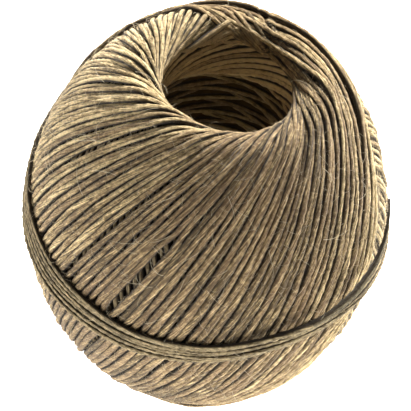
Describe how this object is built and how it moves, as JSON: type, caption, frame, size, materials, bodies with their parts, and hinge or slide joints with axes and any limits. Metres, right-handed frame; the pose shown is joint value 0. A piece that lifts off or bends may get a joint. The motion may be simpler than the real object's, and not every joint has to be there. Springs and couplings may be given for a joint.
{
  "type": "ball of twine",
  "caption": "Hollow-centred ball of plant fibre twine, cross-wound around a spindle hole, tied around the waist with wraps that finish in a loose end.",
  "frame": {"origin": "middle of the flat spot around the lower end of the hole, on which the ball stands", "axes": "+Z along the hole through the ball, up; -Y towards the side that the picture shows; +X to the right of it, where the loose end is"},
  "size_m": [0.091, 0.0904, 0.0957],
  "materials": {
    "twine": "dry, matt, fibrous two-ply twine in uneven tan and olive brown"
  },
  "bodies": {
    "root": {"twine_ball": "twine", "loose_end": "twine"}
  },
  "joints": []
}
